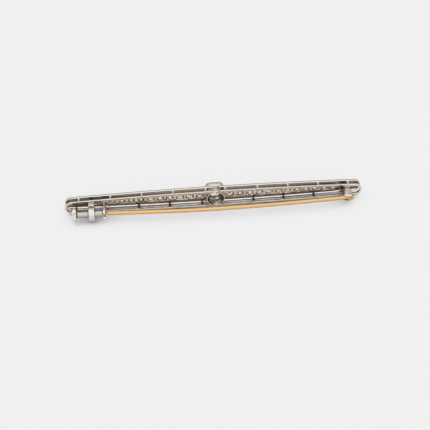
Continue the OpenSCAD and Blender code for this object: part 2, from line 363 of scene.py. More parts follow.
def yellow_gold():
    """18 carat yellow gold wire, drawn and burnished: warm, with fine lines along its length and
    a redder, duller tone of painted shade where it lies against the hinge."""
    material, tree, coords = new_material("yellow_gold_wire")
    # Draw lines are 1/12 mm apart and some millimetres long
    stretch = add(
        tree,
        "ShaderNodeMapping",
        {"Scale": (0.4 / MM, 12 / MM, 12 / MM)},
        {"Vector": (coords, "Object")},
    )
    drawn = add(
        tree, "ShaderNodeTexNoise", {"Scale": 1.0, "Detail": 3.0}, {"Vector": (stretch, 0)}
    )
    # Fingers leave it brighter and duller by turns, about 4 mm apart
    handling = add(
        tree,
        "ShaderNodeTexNoise",
        {"Scale": 0.25 / MM, "Detail": 3.0},
        {"Vector": (coords, "Object")},
    )
    # Nearness to other parts darkens the wire towards the darkest stop: painted shade
    corners = add(tree, "ShaderNodeAmbientOcclusion", {"samples": 8, "Distance": 0.8 * MM})
    tone = add(
        tree,
        "ShaderNodeMath",
        {"operation": "MULTIPLY_ADD", 1: 0.35},
        {0: (handling, "Fac"), 2: (corners, "AO")},
    )
    colour = add(
        tree,
        "ShaderNodeValToRGB",
        {"stops": [(0.35, "#946A40"), (0.8, "#BD9872"), (1.0, "#CBAA85")]},
        {"Fac": (tone, 0)},
    )
    roughness = add(
        tree,
        "ShaderNodeMath",
        {"operation": "MULTIPLY_ADD", 1: 0.16, 2: 0.14},
        {0: (drawn, "Fac")},
    )
    relief = add(
        tree,
        "ShaderNodeBump",
        {"Strength": 0.3, "Distance": 0.01 * MM},
        {"Height": (drawn, "Fac")},
    )
    shader = add(
        tree,
        "ShaderNodeBsdfPrincipled",
        {"Metallic": 1.0},
        {"Base Color": (colour, 0), "Roughness": (roughness, 0), "Normal": (relief, 0)},
    )
    add(tree, "ShaderNodeOutputMaterial", {}, {"Surface": (shader, 0)})
    return material


def diamond(name, clear, warm, film_roughness):
    """Diamond, cut and polished by hand: clear with a faint warm tint, strong refraction, and a
    thin film of handling grease in patches."""
    material, tree, coords = new_material(name)
    # Patches of film are a little under 1 mm across
    film = add(
        tree,
        "ShaderNodeTexNoise",
        {"Scale": 1.2 / MM, "Detail": 3.0},
        {"Vector": (coords, "Object")},
    )
    tint = add(
        tree,
        "ShaderNodeValToRGB",
        {"stops": [(0.35, clear), (0.65, warm)]},
        {"Fac": (film, "Fac")},
    )
    haze = add(
        tree,
        "ShaderNodeMapRange",
        {"From Min": 0.45, "From Max": 0.75, "To Min": 0.0, "To Max": film_roughness},
        {"Value": (film, "Fac")},
    )
    shader = add(
        tree,
        "ShaderNodeBsdfPrincipled",
        {"IOR": 2.417, "Transmission Weight": 1.0},
        {"Base Color": (tint, 0), "Roughness": (haze, "Result")},
    )
    add(tree, "ShaderNodeOutputMaterial", {}, {"Surface": (shader, 0)})
    return material


def studio_paper():
    """White background paper, coated matt: even, with a very slight mottle 17 mm across."""
    material, tree, coords = new_material("background_paper")
    mottle = add(tree, "ShaderNodeTexNoise", {"Scale": 60.0}, {"Vector": (coords, "Object")})
    colour = add(
        tree,
        "ShaderNodeValToRGB",
        {"stops": [(0.3, "#EDEDEE"), (0.7, "#EFEFF0")]},
        {"Fac": (mottle, "Fac")},
    )
    shader = add(
        tree, "ShaderNodeBsdfPrincipled", {"Roughness": 0.75}, {"Base Color": (colour, 0)}
    )
    add(tree, "ShaderNodeOutputMaterial", {}, {"Surface": (shader, 0)})
    return material


# Shaping


def verts_in(geometry):
    return [g for g in geometry if isinstance(g, bmesh.types.BMVert)]


def edges_in(geometry):
    return [g for g in geometry if isinstance(g, bmesh.types.BMEdge)]


def spun(part, geometry, centre, axis, angle, steps, whole_turn=False):
    """Spins geometry round an axis and returns what ends up furthest."""
    return bmesh.ops.spin(
        part,
        geom=geometry,
        cent=centre,
        axis=axis,
        dvec=(0, 0, 0),
        angle=angle,
        steps=steps,
        use_merge=whole_turn,
        use_duplicate=False,
    )["geom_last"]


def close_holes(part):
    bmesh.ops.holes_fill(part, edges=[e for e in part.edges if e.is_boundary])


def joined(whole, part, matrix=Matrix.Identity(4)):
    """Adds a part to a whole through a matrix, with its faces turned outwards."""
    bmesh.ops.remove_doubles(part, verts=part.verts, dist=SAME)
    bmesh.ops.transform(part, matrix=matrix, verts=part.verts)
    bmesh.ops.recalc_face_normals(part, faces=part.faces)
    if part.calc_volume(signed=True) < 0:
        bmesh.ops.reverse_faces(part, faces=part.faces)
    mesh = bpy.data.meshes.new("part")
    part.to_mesh(mesh)
    part.free()
    whole.from_mesh(mesh)
    bpy.data.meshes.remove(mesh)


def lathe(profile, steps, closed=False):
    """Spins (radius, height) points round +Z. An open profile starts and ends on the axis."""
    part = bmesh.new()
    verts = [part.verts.new((radius, 0, height)) for radius, height in profile]
    pairs = list(zip(verts, verts[1:]))
    if closed:
        pairs.append((verts[-1], verts[0]))
    edges = [part.edges.new(pair) for pair in pairs]
    spun(part, verts + edges, (0, 0, 0), (0, 0, 1), math.tau, steps, whole_turn=True)
    return part


def eased_corners(corners):
    """A closed outline through (across, along, ease) corners, each eased by a curve that starts
    that far before it."""
    points = []
    for i, corner in enumerate(corners):
        here = Vector(corner[:2])
        before = Vector(corners[i - 1][:2])
        after = Vector(corners[(i + 1) % len(corners)][:2])
        start = here + (before - here).normalized() * corner[2]
        end = here + (after - here).normalized() * corner[2]
        for k in range(CORNER_STEPS + 1):
            t = k / CORNER_STEPS
            points.append(start * (1 - t) ** 2 + here * 2 * t * (1 - t) + end * t**2)
    return points


def block(width, depth, height, ease, segments=2):
    """A rounded block centred in X and Z, with its front face at y = 0."""
    part = bmesh.new()
    bmesh.ops.create_cube(part, size=1, matrix=place(0, -0.5, 0))
    bmesh.ops.scale(part, vec=(width, depth, height), verts=part.verts)
    bmesh.ops.bevel(
        part,
        geom=part.edges[:],
        offset=ease,
        segments=segments,
        affect="EDGES",
        profile=0.5,
        material=-1,
    )
    return part


# Rails


def swept_round_bar(part, points):
    """Sweeps a chain of (inset, y) points round the bar's outline: two long arcs and two round
    ends. Three points or more make a closed section."""
    reach = BAR_LENGTH / 2
    end_r = (2 * SIDE_RADIUS * BAR_HALF - BAR_HALF**2 - reach**2) / (2 * (SIDE_RADIUS - reach))
    end_x = reach - end_r
    arc_z = SIDE_RADIUS - BAR_HALF
    lean = math.atan2(end_x, arc_z)
    verts = []
    for inset, y in points:
        out = end_r - inset
        verts.append(part.verts.new((end_x + out * math.sin(lean), y, out * math.cos(lean))))
    section = verts + [part.edges.new(pair) for pair in zip(verts, verts[1:])]
    if len(verts) > 2:
        section.append(part.edges.new((verts[-1], verts[0])))
    for x, z, angle, steps in (
        (end_x, 0, math.pi - 2 * lean, END_STEPS),
        (0, arc_z, 2 * lean, SIDE_STEPS),
        (-end_x, 0, math.pi - 2 * lean, END_STEPS),
        (0, -arc_z, 2 * lean, SIDE_STEPS),
    ):
        section = spun(part, section, (x, 0, z), (0, 1, 0), angle, steps)
    bmesh.ops.remove_doubles(part, verts=part.verts, dist=10 * SAME)


def kept_beyond(part, x):
    """Cuts a shape upright at -x and x, keeps what lies beyond, and closes the cuts."""
    for side in (-1, 1):
        bmesh.ops.bisect_plane(
            part,
            geom=part.verts[:] + part.edges[:] + part.faces[:],
            dist=SAME,
            plane_co=(side * x, 0, 0),
            plane_no=(1, 0, 0),
        )
    gone = [f for f in part.faces if abs(f.calc_center_median().x) < x]
    bmesh.ops.delete(part, geom=gone, context="FACES")
    close_holes(part)


def rail(whole, corners):
    """A wire rail of one section round the bar, broken where the collet stands."""
    part = bmesh.new()
    swept_round_bar(part, eased_corners(corners))
    kept_beyond(part, RAIL_BREAK)
    joined(whole, part)


# Gallery


def post():
    """A short oval post along -Y that flares where it is soldered at both ends."""
    far_end = [(radius, POST_LENGTH - height) for radius, height in reversed(POST_FLARE)]
    part = lathe([(0, 0)] + POST_FLARE + far_end + [(0, POST_LENGTH)], steps=16)
    oval = Matrix.Diagonal((1, POST_HEIGHT / POST_WIDTH, 1, 1))
    bmesh.ops.transform(part, matrix=ALONG_MINUS_Y @ oval, verts=part.verts)
    return part


def gallery_side(whole, level):
    """The posts between the two rails along one long side, and ribs on the sheet at their feet."""
    for i, post_x in enumerate(POST_X):
        for side in (-1, 1):
            x = side * post_x - (LOWER_POST_SHIFT if level < 0 else 0)
            z = level * (half_at(x) - BACK_RAIL_WALL / 2)
            joined(whole, post(), place(x, POST_FRONT, z))
            outer_z = half_at(x) - SOLDER
            if 0 < i < len(POST_X) - 1:
                rib = block(POST_WIDTH, RIB_DEPTH, outer_z - RIB_INNER_Z, RIB_EASE)
                joined(whole, rib, place(x, 0, level * (outer_z + RIB_INNER_Z) / 2))


def end_post_and_brace(whole):
    """The single post in the catch's end of the bar, and the raking brace by the hinge."""
    joined(whole, post(), place(END_POST_X, POST_FRONT, END_POST_Z))
    x = POST_X[-1] - LOWER_POST_SHIFT
    run = -BACK_RAIL_FRONT
    lean = Matrix.Rotation(math.atan(BRACE_FOOT / run), 4, "Z")
    length = math.hypot(BRACE_FOOT, run) + SOLDER
    brace = block(BRACE_WIDTH, length, POST_HEIGHT, STRUT_EASE)
    joined(whole, brace, place(x, 0, BACK_RAIL_WALL / 2 - half_at(x)) @ lean)


# Rows of stones


def stone_row():
    """Each small stone of one row, from the collet outwards, as (x, diameter)."""
    row = []
    x = COLLET_R + COLLET_TO_STONE - STONE_GAP
    last = 0
    for i in range(ROW_STONES):
        d = FIRST_STONE_D - (FIRST_STONE_D - LAST_STONE_D) * i / (ROW_STONES - 1)
        x += last / 2 + STONE_GAP + d / 2
        row.append((x, d))
        last = d
    return row


ROW = stone_row()
ROW_END = ROW[-1][0]


def layer_half(x, layer):
    """Half the height of a layer at a place along the row: the sheet reaches into the rail, the
    raised front is wider than the stones by a margin, and the back is as wide as they are."""
    if layer == "sheet":
        return half_at(x) - FRONT_RAIL_WALL / 2
    first = FIRST_STONE_D / 2 + (FIRST_MARGIN if layer == "front" else 0)
    last = LAST_STONE_D / 2 + (LAST_MARGIN if layer == "front" else 0)
    return first + (last - first) * min(x / ROW_END, 1)


def cell_edge(i, turn, layer):
    """Where the outline of stone i's cell lies in a direction from the stone, as (x, z). Cells
    are squared, but the first is cut to the collet's ring and the last has a round end."""
    x, d = ROW[i]
    across, up = math.cos(turn), math.sin(turn)
    is_outer_end = i == ROW_STONES - 1 and across > 1e-6
    if is_outer_end and layer != "sheet":
        end_r = layer_half(ROW_END, layer)
        return x + end_r * across, end_r * up
    reach = max(abs(across), abs(up))
    if i == 0 and across / reach < -1 + 1e-6:
        inner_r = COLLET_R - RING_WALL / 2
        z = up / reach * min(layer_half(COLLET_R, layer), 0.9 * inner_r)
        return math.sqrt(inner_r**2 - z * z), z
    half = LAST_REACH if is_outer_end else (d + STONE_GAP) / 2
    edge_x = x + across / reach * half
    return edge_x, up / reach * layer_half(edge_x, layer)


def stone_cell(part, i, chance):
    """The metal round one stone: its seat in the raised front, a squared opening at the back,
    and the sheet beside it. One ring of edges is extruded from each outline to the next. No two
    openings are cut quite alike."""
    x, d = ROW[i]
    drift_x = chance.uniform(-0.08, 0.08)
    drift_z = chance.uniform(-0.03, 0.03)
    size = chance.uniform(0.88, 1.02)
    stretch = chance.uniform(1.0, 1.14)

    def ring(y, radius, square=0.0):
        """Between a circle and a square. The squarer it is, the more it drifts by chance."""

        def point(turn):
            reach = max(abs(math.cos(turn)), abs(math.sin(turn)))
            out = radius * (1 + square * (1 / reach - 1))
            cut = square / OPENING_SQUARENESS
            out *= 1 + cut * (size - 1)
            across = out * math.cos(turn) * (1 + cut * (stretch - 1))
            return x + cut * drift_x + across, y, cut * drift_z + out * math.sin(turn)

        return point

    def outline(y, layer):
        def point(turn):
            edge_x, edge_z = cell_edge(i, turn, layer)
            return edge_x, y, edge_z

        return point

    rim = ring(PLATE_FRONT, d / 2 + 0.08)
    shapes = [
        # The seat, from its rim down to the girdle
        ring(PLATE_FRONT - 0.07, d / 2 + 0.02),
        ring(PLATE_FRONT - 0.13, d / 2 + 0.01),
        # The hole, narrowest in the middle and squared towards the back
        ring(-0.02, 0.42 * d),
        ring(-0.12, 0.37 * d),
        ring(-0.26, 0.39 * d, 0.4),
        ring(PLATE_BACK + 0.05, 0.435 * d, OPENING_SQUARENESS),
        ring(PLATE_BACK, 0.45 * d, OPENING_SQUARENESS),
        # Round the outside, over the sheet and back to the rim
        outline(PLATE_BACK, "back"),
        outline(SHEET_BACK - 0.04, "back"),
        outline(SHEET_BACK, "sheet"),
        outline(SHEET_FRONT, "sheet"),
        outline(SHEET_FRONT + 0.04, "front"),
        outline(PLATE_FRONT, "front"),
        rim,
    ]
    mark = part.verts.layers.float["turn"]
    made = bmesh.ops.create_circle(part, cap_ends=False, segments=CELL_SIDES, radius=1)
    edges = list({e for v in made["verts"] for e in v.link_edges})
    for v in made["verts"]:
        v[mark] = math.atan2(v.co.y, v.co.x)
        v.co = rim(v[mark])
    for shape in shapes:
        moved = bmesh.ops.extrude_edge_only(part, edges=edges)["geom"]
        edges = edges_in(moved)
        for v in verts_in(moved):
            v.co = shape(v[mark])


def stone_plate(whole, side):
    """The pierced plate of one row. Cells share their edges, so the walls between them go. Its
    materials are the front's, the openings' and, on the sheet's back, the sheet's."""
    part = bmesh.new()
    part.verts.layers.float.new("turn")
    chance = random.Random(2 + side)
    for i in range(ROW_STONES):
        stone_cell(part, i, chance)
    bmesh.ops.remove_doubles(part, verts=part.verts, dist=SAME)
    for x, d in ROW[:-1]:
        wall_x = x + (d + STONE_GAP) / 2
        walls = [f for f in part.faces if all(abs(v.co.x - wall_x) < SAME for v in f.verts)]
        bmesh.ops.delete(part, geom=walls, context="FACES")
    # The sheet's back takes the third material, painted darker as the shade inside the gallery
    for f in part.faces:
        if all(abs(v.co.y - SHEET_BACK) < 0.05 for v in f.verts):
            f.material_index = 2
        elif f.calc_center_median().y < 0.05:
            f.material_index = 1
    joined(whole, part, Matrix.Diagonal((side, 1, 1, 1)))


def end_sheets(whole):
    """The plain sheet in the bar's two ends, beyond the last stones. Its second material is for
    the back."""
    part = bmesh.new()
    swept_round_bar(part, [(FRONT_RAIL_WALL / 2, SHEET_FRONT)])
    bmesh.ops.contextual_create(part, geom=part.edges[:])
    moved = bmesh.ops.extrude_face_region(part, geom=part.faces[:])["geom"]
    bmesh.ops.translate(part, vec=(0, SHEET_BACK - SHEET_FRONT, 0), verts=verts_in(moved))
    kept_beyond(part, ROW_END + LAST_REACH)
    # The back takes the second material, painted dark brown as the shade inside the bar's ends
    for f in part.faces:
        if f.calc_center_median().y < 0:
            f.material_index = 1
    joined(whole, part)


def grains(whole, side):
    """Raised grains that hold the small stones, two in each gap between neighbours."""
    gaps = [ROW[0][0] - FIRST_STONE_D / 2 - GRAIN_GAP]
    gaps += [(a[0] + a[1] / 2 + b[0] - b[1] / 2) / 2 for a, b in zip(ROW, ROW[1:])]
    gaps += [ROW_END + LAST_STONE_D / 2 + GRAIN_GAP]
    for x in gaps:
        for level in (-1, 1):
            z = level * GRAIN_SPREAD * (FIRST_STONE_D / 2 if x < ROW_END else END_GRAIN_REACH)
            part = bmesh.new()
            bmesh.ops.create_icosphere(part, subdivisions=2, radius=GRAIN_R)
            joined(whole, part, place(side * x, PLATE_FRONT + GRAIN_RISE, z))


def millegrain(whole, side):
    """Lines of tiny beads rolled along both front edges of the plate and round its outer end."""
    start = COLLET_R + 0.05
    count = int((ROW_END - start) / BEAD_PITCH)
    places = []
    for level in (-1, 1):
        for k in range(count + 1):
            x = start + BEAD_PITCH * k
            places.append((x, level * (layer_half(x, "front") - BEAD_INSET)))
    reach = layer_half(ROW_END, "front") - BEAD_INSET
    for k in range(1, END_BEAD_STEPS):
        turn = math.pi * k / END_BEAD_STEPS - math.pi / 2
        places.append((ROW_END + reach * math.cos(turn), reach * math.sin(turn)))
    for x, z in places:
        part = bmesh.new()
        bmesh.ops.create_uvsphere(part, u_segments=6, v_segments=4, radius=BEAD_R)
        joined(whole, part, place(side * x, PLATE_FRONT, z))


def cut_stone(rings, matrix):
    """A faceted stone: the hull of rings of (corners, half-step turn, radius, height) points."""
    part = bmesh.new()
    for corners, turned, radius, height in rings:
        turn = Matrix.Rotation(turned * math.pi / corners, 4, "Z")
        bmesh.ops.create_circle(
            part,
            cap_ends=False,
            segments=corners,
            radius=radius,
            matrix=place(0, 0, height) @ turn,
        )
    bmesh.ops.delete(part, geom=part.edges[:], context="EDGES_FACES")
    hull = bmesh.ops.convex_hull(part, input=part.verts[:])
    bmesh.ops.delete(part, geom=verts_in(hull["geom_interior"]), context="VERTS")
    bmesh.ops.dissolve_limit(
        part, angle_limit=math.radians(1.5), verts=part.verts[:], edges=part.edges[:]
    )
    bmesh.ops.transform(part, matrix=matrix, verts=part.verts)
    return part


def row_diamonds(whole):
    """Single-cut stones with eight crown and eight pavilion facets, turned and tilted by chance."""
    chance = random.Random(7)
    for side in (-1, 1):
        for x, d in ROW:
            rings = [
                (8, 0, 0.55 * d / 2, 0.15 * d + PLATE_FRONT - STONE_GIRDLE_Y),
                (16, 0, d / 2, 0.0),
                (16, 0, d / 2, -0.03 * d),
                (8, 0, 0.03 * d, -0.43 * d),
            ]
            turn = Matrix.Rotation(chance.uniform(0, math.pi), 4, "Z")
            tilt = Matrix.Rotation(chance.uniform(-STONE_TILT, STONE_TILT), 4, "X")
            seat = place(side * x, STONE_GIRDLE_Y - STONE_SINK, 0) @ ALONG_Y
            joined(whole, cut_stone(rings, seat @ tilt @ turn))


def centre_diamond(whole):
    """An old brilliant cut: high crown, small table, open culet."""
    r = CENTRE_R
    rings = [
        (8, 1, 0.54 * r, CENTRE_CROWN),
        (8, 0, 0.77 * r, 0.58 * CENTRE_CROWN),
        (16, 0, r, 0.0),
        (16, 0, r, -CENTRE_GIRDLE),
        (8, 0, 0.42 * r, -0.69 * CENTRE_PAVILION),
        (8, 1, 0.06 * r, -CENTRE_PAVILION),
    ]
    joined(whole, cut_stone(rings, place(0, CENTRE_GIRDLE_Y, 0) @ ALONG_Y))


# Centre setting


def collet_front():
    """The collet's front ring along +Z: notches part its rim into claws that lean over the round
    stone, and its outside is squared to a cushion."""
    profile = [
        # The inside, with the seat that the stone's girdle lies in
        (2.0, RING_BACK),
        (2.0, 1.24),
        (1.985, 1.3),
        (1.86, 1.37),
        (1.84, 1.42),
        # Over the rounded rim
        (1.9, 1.53),
        (2.02, 1.63),
        (2.12, COLLET_RISE),
        (2.22, 1.62),
        (2.28, 1.52),
        # Down the outside to the eased foot
        (COLLET_R, 1.4),
        (COLLET_R, 0.12),
        (2.27, 0.05),
        (2.2, RING_BACK),
    ]
    part = lathe(profile, steps=120, closed=True)
    for v in part.verts:
        turn = math.atan2(v.co.y, v.co.x) - NOTCH_TURN
        off = abs((turn * CLAWS / math.tau + 0.5) % 1 - 0.5) * math.tau / CLAWS
        notch = math.exp(-((off / NOTCH_WIDTH) ** 2))
        radius = math.hypot(v.co.x, v.co.y)
        if v.co.z > RIM_FOOT:
            grow = 1 + notch * max(0, NOTCH_R - radius) / radius
            v.co.x *= grow
            v.co.y *= grow
            v.co.z -= notch * NOTCH_DEPTH * (v.co.z - NOTCH_FLOOR)
            radius = math.hypot(v.co.x, v.co.y)
        across, up = abs(v.co.x) / radius, abs(v.co.y) / radius
        square = (across**CUSHION_POWER + up**CUSHION_POWER) ** (-1 / CUSHION_POWER)
        outer = min(max((radius - CUSHION_INNER_R) / CUSHION_BLEND, 0), 1)
        v.co.xy *= 1 + outer * (square - 1)
        v.co.x *= 1 + outer * CUSHION_LENGTHENING
    return part


def collet(whole):
    """The front ring with its claws, the back ring, and the posts between the two."""
    joined(whole, collet_front(), ALONG_Y)
    corners = [
        (BACK_RING_R, BACK_PLANE, BACK_RING_EASE),
        (BACK_RING_R, BACK_RING_FRONT, BACK_RING_EASE),
        (BACK_RING_R - RING_WALL, BACK_RING_FRONT, BACK_RING_EASE),
        (BACK_RING_R - RING_WALL, BACK_PLANE, BACK_RING_EASE),
    ]
    joined(whole, lathe(eased_corners(corners), steps=96, closed=True), ALONG_Y)
    length = RING_BACK - BACK_RING_FRONT + 2 * SOLDER
    seat = place(COLLET_POST_R, RING_BACK + SOLDER, 0)
    for k in range(COLLET_POSTS):
        turn = Matrix.Rotation(math.pi / 2 + math.tau * k / COLLET_POSTS, 4, "Y")
        strut = block(COLLET_POST_WIDTH, length, COLLET_POST_HEIGHT, ease=0.05)
        joined(whole, strut, turn @ seat)


# Catch


def cross_bar(whole, x, width):
    """A bar across the back rails that carries the catch or the hinge."""
    height = 2 * (half_at(x) - BACK_RAIL_WALL + SOLDER)
    bar = block(width, BACK_RAIL_DEPTH, height, STRUT_EASE)
    joined(whole, bar, place(x, BACK_RAIL_FRONT, 0))


def collar(whole):
    """The collar that the tube slides in: a domed band with two soft ridges, on its foot."""
    cross_bar(whole, COLLAR_X, COLLAR_LENGTH)
    foot_depth = BACK_PLANE - CATCH_Y - BORE_R
    foot_length = COLLAR_LENGTH - COLLAR_FOOT_INSET
    foot = block(foot_length, foot_depth, 2 * COLLAR_FOOT_HALF, COLLAR_FOOT_EASE)
    joined(whole, foot, place(COLLAR_X, BACK_PLANE + SOLDER, 0))
    half = COLLAR_LENGTH / 2
    edge = [
        (BORE_R, half - 0.05),
        (BORE_R + 0.06, half),
        (COLLAR_R - 0.2, half),
        (COLLAR_R - 0.12, half - 0.04),
    ]
    far_edge = [(radius, -height) for radius, height in edge]
    band = []
    for k in range(1, COLLAR_STEPS):
        turn = math.pi * k / COLLAR_STEPS
        radius = COLLAR_R - COLLAR_GROOVE * (1 - abs(math.sin(2 * turn)))
        band.append((radius, half * COLLAR_BAND * math.cos(turn)))
    profile = far_edge[:1] + edge + band + far_edge[:0:-1]
    ring = lathe(profile, steps=64, closed=True)
    joined(whole, ring, place(COLLAR_X, CATCH_Y, 0) @ ALONG_X)


def hook(whole):
    """The hook that the pin's point lies in: a ring open to the back, on a foot with a toe."""
    cross_bar(whole, HOOK_X, HOOK_WIDTH)
    foot_front = BACK_PLANE + SOLDER
    foot_depth = foot_front - CATCH_Y - BORE_R - HOOK_FOOT_OVERLAP
    foot = block(HOOK_WIDTH, foot_depth, HOOK_FOOT_HEIGHT, ease=0.06)
    joined(whole, foot, place(HOOK_X, foot_front, 0))
    toe_x = HOOK_X + (HOOK_WIDTH + TOE_LENGTH) / 2 - SOLDER
    toe = block(TOE_LENGTH, TOE_DEPTH, TOE_HEIGHT, TOE_EASE)
    joined(whole, toe, place(toe_x, foot_front, 0))
    part = bmesh.new()
    gap = math.asin(HOOK_SLOT / 2 / HOOK_R) + MOUTH_TURN
    half = HOOK_WIDTH / 2
    corners = [
        (-half, BORE_R, HOOK_EASE),
        (half, BORE_R, HOOK_EASE),
        (half, HOOK_R, HOOK_EASE),
        (-half, HOOK_R, HOOK_EASE),
    ]
    verts = [part.verts.new((x, -r, 0)) for x, r in eased_corners(corners)]
    face = part.faces.new(verts)
    bmesh.ops.rotate(part, cent=(0, 0, 0), matrix=Matrix.Rotation(gap, 3, "X"), verts=verts)
    section = verts + part.edges[:] + [face]
    spun(part, section, (0, 0, 0), (1, 0, 0), math.tau - 2 * gap, steps=40)
    joined(whole, part, place(HOOK_X, CATCH_Y, 0))


def slide(whole):
    """The sliding tube with its neck and its ribbed pull knob, which has the second material."""
    bore = TUBE_R - TUBE_WALL
    knob_x = TUBE_END - NECK_LENGTH
    knob_end = knob_x - KNOB_WIDTH
    knob_face_r = KNOB_R - KNOB_EDGE
    profile = [
        # The bore, out to its eased mouth
        (0, TUBE_MOUTH - TUBE_BORE),
        (bore, TUBE_MOUTH - TUBE_BORE),
        (bore, TUBE_MOUTH - 0.04),
        (bore + 0.03, TUBE_MOUTH),
        (TUBE_R - 0.05, TUBE_MOUTH),
        (TUBE_R - 0.015, TUBE_MOUTH - 0.015),
        (TUBE_R, TUBE_MOUTH - 0.05),
        # The outside, down to the neck and the knob
        (TUBE_R, TUBE_END + 0.08),
        (TUBE_R - 0.08, TUBE_END),
        (NECK_R, TUBE_END),
        (NECK_R, knob_x),
        (knob_face_r, knob_x),
    ]
    for k in range(1, KNOB_STEPS):
        turn = math.pi * k / KNOB_STEPS
        height = knob_x - KNOB_WIDTH / 2 + KNOB_WIDTH / 2 * math.cos(turn)
        profile.append((knob_face_r + KNOB_EDGE * math.sin(turn), height))
    profile += [(knob_face_r, knob_end), (0.6, knob_end), (0, knob_end + 0.06)]
    part = lathe(profile, steps=8 * KNOB_RIBS)
    for v in part.verts:
        radius = math.hypot(v.co.x, v.co.y)
        depth = radius - KNOB_R + KNOB_CUT_REACH
        if depth > 0:
            rib = 0.5 + 0.5 * math.cos(KNOB_RIBS * math.atan2(v.co.y, v.co.x))
            v.co.xy *= 1 - KNOB_CUT * rib * depth / radius / KNOB_CUT_REACH
    for f in part.faces:
        if f.calc_center_median().z < TUBE_END:
            f.material_index = 1
    joined(whole, part, place(0, CATCH_Y, 0) @ ALONG_X)


# Hinge and pin


def hinge_cheeks(whole):
    """Two upright cheeks on a bar across the back rails. Each is a drop that spreads towards the
    stem at its round end, with a domed outer face."""
    cross_bar(whole, HINGE_X, 2 * CHEEK_R)
    for side in (-1, 1):
        part = bmesh.new()
        made = bmesh.ops.create_circle(part, cap_ends=False, segments=48, radius=CHEEK_R)
        for v in made["verts"]:
            if v.co.y > -1e-6:
                v.co.y = BACK_PLANE + SOLDER - HINGE_Y
            else:
                v.co.y *= CHEEK_REACH
                if v.co.x < 0:
                    v.co.x *= CHEEK_SPREAD
        bmesh.ops.remove_doubles(part, verts=part.verts, dist=SAME)
        edges = part.edges[:]
        last = 1.0
        for rise, size in CHEEK_DOME:
            moved = bmesh.ops.extrude_edge_only(part, edges=edges)["geom"]
            edges = edges_in(moved)
            for v in verts_in(moved):
                v.co.z = side * rise * (CHEEK_OUTER - CHEEK_INNER)
                v.co.x *= size / last
                # The edge on the bar stays where it is
                if v.co.y < CHEEK_R:
                    v.co.y *= size / last
            last = size
        close_holes(part)
        joined(whole, part, place(HINGE_X, HINGE_Y, side * CHEEK_INNER))


def rivet(whole):
    """The rivet through the cheeks and the tongue, with domed heads."""
    head = [(radius, RIVET_TOP - drop) for radius, drop in RIVET_DOME]
    head += [(radius, CHEEK_OUTER + RIVET_FIT) for radius in (RIVET_HEAD_R, RIVET_R)]
    profile = head + [(radius, -height) for radius, height in reversed(head)]
    joined(whole, lathe(profile, steps=40), place(HINGE_X, HINGE_Y, 0))


def stem(whole):
    """The bowed stem: one arc from the tongue to the bow's furthest point at x = 0, another to
    the bend, and the straight to the ground point."""
    rise = HINGE_Y - BOW_Y
    hinge_arc_r = (HINGE_X**2 + rise**2) / (2 * rise)
    hinge_turn = math.asin((HINGE_X - STEM_ROOT) / hinge_arc_r)
    slope = math.atan((CATCH_Y - BOW_Y) / (BEND_X / 2 - POINT_X))
    catch_arc_r = -BEND_X / math.sin(slope)
    part = bmesh.new()
    bmesh.ops.create_circle(
        part, cap_ends=False, segments=32, radius=STEM_R, matrix=place(0, BOW_Y, 0) @ ALONG_X
    )
    start = part.verts[:] + part.edges[:]
    spun(part, start, (0, BOW_Y + hinge_arc_r, 0), (0, 0, 1), hinge_turn, steps=30)
    last = spun(part, start, (0, BOW_Y + catch_arc_r, 0), (0, 0, 1), -slope, steps=14)
    ahead = Vector((-math.cos(slope), math.sin(slope), 0))
    bend = Vector((BEND_X, BOW_Y + catch_arc_r * (1 - math.cos(slope)), 0))
    straight = (Vector((POINT_X, CATCH_Y, 0)) - bend).length
    edges = edges_in(last)
    radius = STEM_R
    along = 0
    for from_tip, next_radius in POINT_TAPER:
        moved = bmesh.ops.extrude_edge_only(part, edges=edges)["geom"]
        verts = verts_in(moved)
        edges = edges_in(moved)
        reach = straight - from_tip
        centre = bend + ahead * reach
        bmesh.ops.translate(part, vec=ahead * (reach - along), verts=verts)
        shrink = Matrix.Scale(next_radius / radius, 4)
        bmesh.ops.transform(
            part,
            matrix=Matrix.Translation(centre) @ shrink @ Matrix.Translation(-centre),
            verts=verts,
        )
        radius = next_radius
        along = reach
    bmesh.ops.remove_doubles(part, verts=part.verts, dist=SAME)
    close_holes(part)
    joined(whole, part)


def tongue(whole):
    """The round tongue with the rivet's eye, and the square tail beyond it."""
    half = TONGUE_WIDTH / 2
    corners = [
        (EYE_R, -half, TONGUE_EASE),
        (TONGUE_R, -half, TONGUE_EASE),
        (TONGUE_R, half, TONGUE_EASE),
        (EYE_R, half, TONGUE_EASE),
    ]
    eye = lathe(eased_corners(corners), steps=48, closed=True)
    joined(whole, eye, place(HINGE_X, HINGE_Y, 0))
    tail_start = EYE_R + EYE_WALL
    tail_end = TAIL_LENGTH + half
    tail = block(tail_end - tail_start, TONGUE_WIDTH, TONGUE_WIDTH, TAIL_EASE, segments=3)
    joined(whole, tail, place(HINGE_X + (tail_end + tail_start) / 2, HINGE_Y + half, 0))


# The object


def make(name, shapes, materials, body="frame", node="frame", crease=35):
    """Runs (shaping function, arguments...) into one piece in the frame's metres, which rides on
    a body and stands for a node. Edges over the crease's degrees stay sharp, or all at zero."""
    whole = bmesh.new()
    for shape, *arguments in shapes:
        shape(whole, *arguments)
    bmesh.ops.transform(whole, matrix=BROOCH_TO_FRAME, verts=whole.verts)
    mesh = bpy.data.meshes.new(name)
    whole.to_mesh(mesh)
    whole.free()
    for material in materials:
        mesh.materials.append(material)
    if crease:
        mesh.shade_smooth()
        mesh.set_sharp_from_angle(angle=math.radians(crease))
    made = bpy.data.objects.new(name, mesh)
    bpy.context.scene.collection.objects.link(made)
    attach(made, body)
    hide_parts(node)


# Front, grains and rivet: buffed last, so bright, with dirt and painted shade only in the tightest
# corners
bright_platinum = platinum("polished_platinum", "#C8C4BD", "#6A5745", 0.3, (0.0, 0.3))
